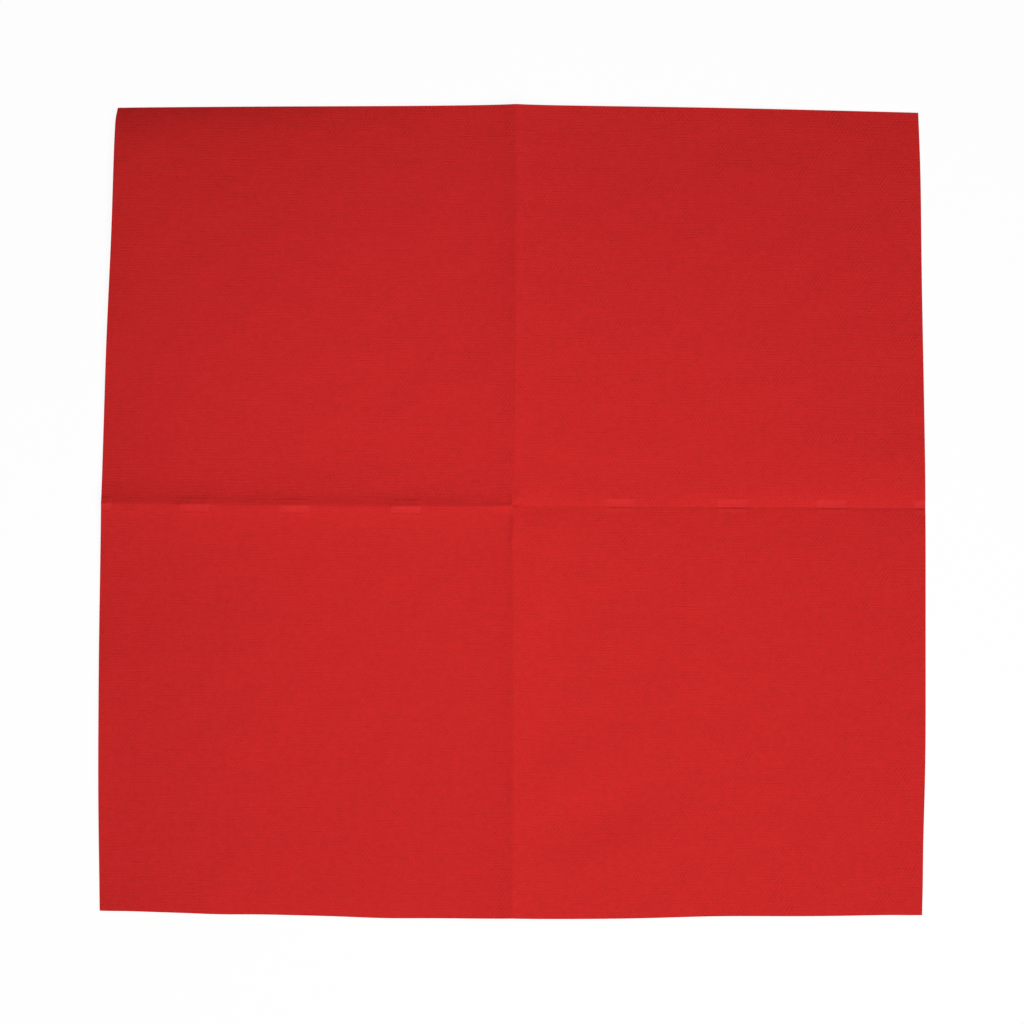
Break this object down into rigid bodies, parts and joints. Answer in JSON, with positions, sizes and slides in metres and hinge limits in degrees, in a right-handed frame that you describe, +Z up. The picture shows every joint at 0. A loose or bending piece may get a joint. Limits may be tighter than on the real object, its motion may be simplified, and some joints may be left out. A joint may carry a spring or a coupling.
{
  "type": "paper cocktail napkin",
  "caption": "Square paper cocktail napkin, opened out from a quarter fold, with raised and sunk creases, pressed fold marks and bowed cut edges, lying on a table.",
  "frame": {"origin": "on the table, under the crossing of the two folds, which is the middle of the sheet", "axes": "+Z up off the table, +Y along the first fold, +X along the second fold towards its valley crease"},
  "size_m": [0.25, 0.25, 0.0034],
  "materials": {
    "red_tissue": "matte"
  },
  "bodies": {
    "root": {"napkin_sheet": "red_tissue"}
  },
  "joints": []
}
